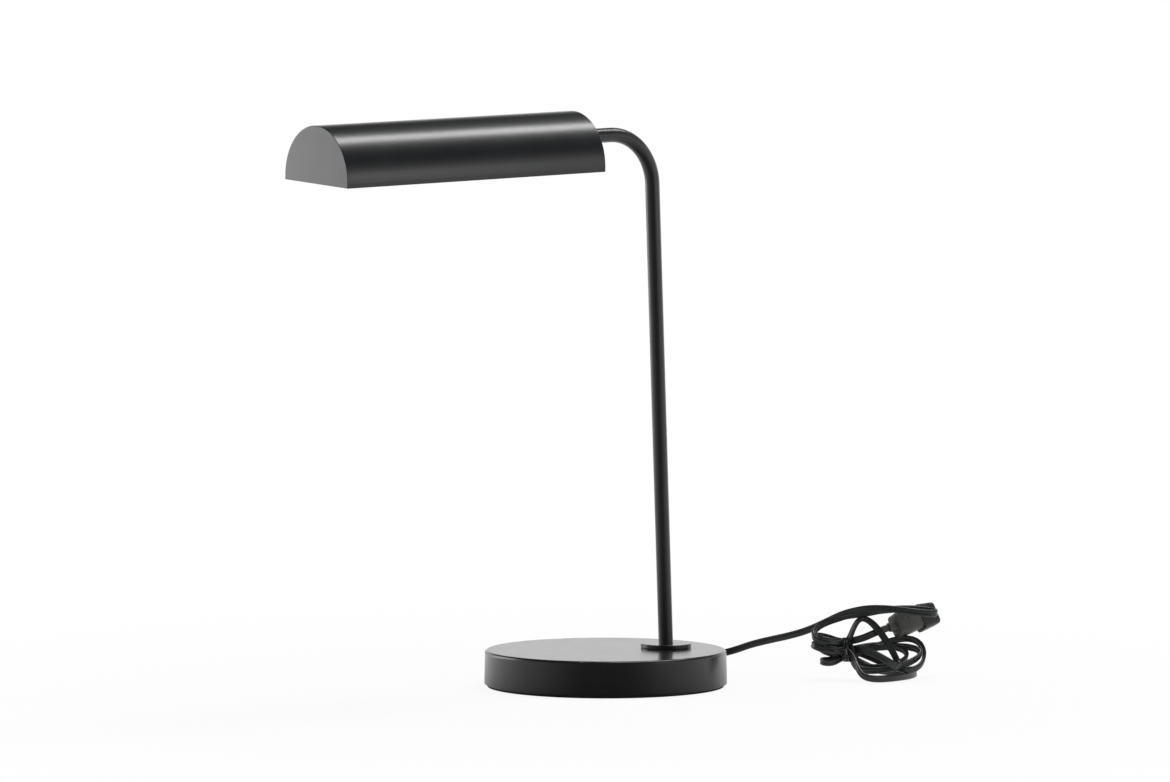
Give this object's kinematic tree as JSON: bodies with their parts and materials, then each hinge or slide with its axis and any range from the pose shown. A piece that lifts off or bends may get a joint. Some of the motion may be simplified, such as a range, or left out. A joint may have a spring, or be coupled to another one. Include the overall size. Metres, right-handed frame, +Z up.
{
  "type": "piano lamp",
  "caption": "Piano lamp with a weighted round base, an off-centre swivelling bent stem, a half-round shade that rolls on its arm, a rotary switch and a tied cord with plug.",
  "frame": {"origin": "centre of the base's underside, on the floor", "axes": "+Z up, the shade points along -X at rest, its open side down"},
  "size_m": [0.5712, 0.2459, 0.4736],
  "materials": {
    "black_paint": "satin powder coat",
    "zinc_steel": "zinc plated",
    "cast_iron": "rough cast",
    "pad": "matt foam rubber",
    "washer": "nylon",
    "rubber": "matt",
    "cord": "flexible vinyl",
    "tie": "flat vinyl",
    "plug": "moulded vinyl",
    "cap": "soft vinyl",
    "phenolic": "moulded",
    "ceramic": "glazed",
    "knob": "moulded",
    "brass": "bright",
    "nickel": "nickel plated",
    "glass": "frosted",
    "reflector": "bright rolled"
  },
  "bodies": {
    "base": {"base_cover": "black_paint", "base_pad": "pad", "base_plate": "zinc_steel", "base_screws": "zinc_steel", "base_weight": "cast_iron", "base_lead": "cord", "cord_clamp": "zinc_steel", "clamp_screws": "zinc_steel", "cord_relief": "rubber", "cord_lead": "cord", "cord_bundle": "cord", "cord_tie": "tie", "cord_tail": "cord", "plug_body": "plug", "plug_blades": "brass", "plug_cover": "cap"},
    "stem": {"stem_tube": "black_paint", "stem_wires": "cord", "foot_flange": "black_paint", "foot_upper_washer": "washer", "foot_spigot": "zinc_steel", "foot_lower_washer": "zinc_steel", "foot_spring_washer": "zinc_steel", "foot_nut": "zinc_steel", "arm_collar": "black_paint", "collar_screw": "zinc_steel", "arm_nipple": "zinc_steel", "shade_friction_washer": "washer", "shade_spring_washer": "zinc_steel", "arm_nut": "zinc_steel", "lampholder_cap": "phenolic", "lampholder_insert": "ceramic", "lampholder_contact": "brass", "lampholder_skirt": "phenolic", "lampholder_screw_shell": "brass", "bulb_cap": "nickel", "bulb_glass": "glass"},
    "shade": {"shade_shell": "black_paint", "shade_front_cap": "black_paint", "shade_rear_cap": "black_paint", "shade_hub": "black_paint", "hub_rivets": "zinc_steel", "reflector": "reflector", "switch_body": "phenolic", "switch_nut": "nickel"},
    "knob": {"switch_spindle": "phenolic", "switch_knob": "knob"}
  },
  "joints": [
    {"name": "stem_swivel", "type": "hinge", "parent": "base", "child": "stem", "pos_m": [0.04841, -0.01897, 0.03], "axis": [0, 0, 1], "range_deg": [-111.4, 68.6]},
    {"name": "shade_roll", "type": "hinge", "parent": "stem", "child": "shade", "pos_m": [-0.04786, -0.01897, 0.45211], "axis": [0.9993, 0, 0.0384], "range_deg": [-64, 56]},
    {"name": "switch_turn", "type": "hinge", "parent": "shade", "child": "knob", "pos_m": [-0.03758, 0.00862, 0.44491], "axis": [0.9993, 0, 0.0384], "continuous": true}
  ]
}
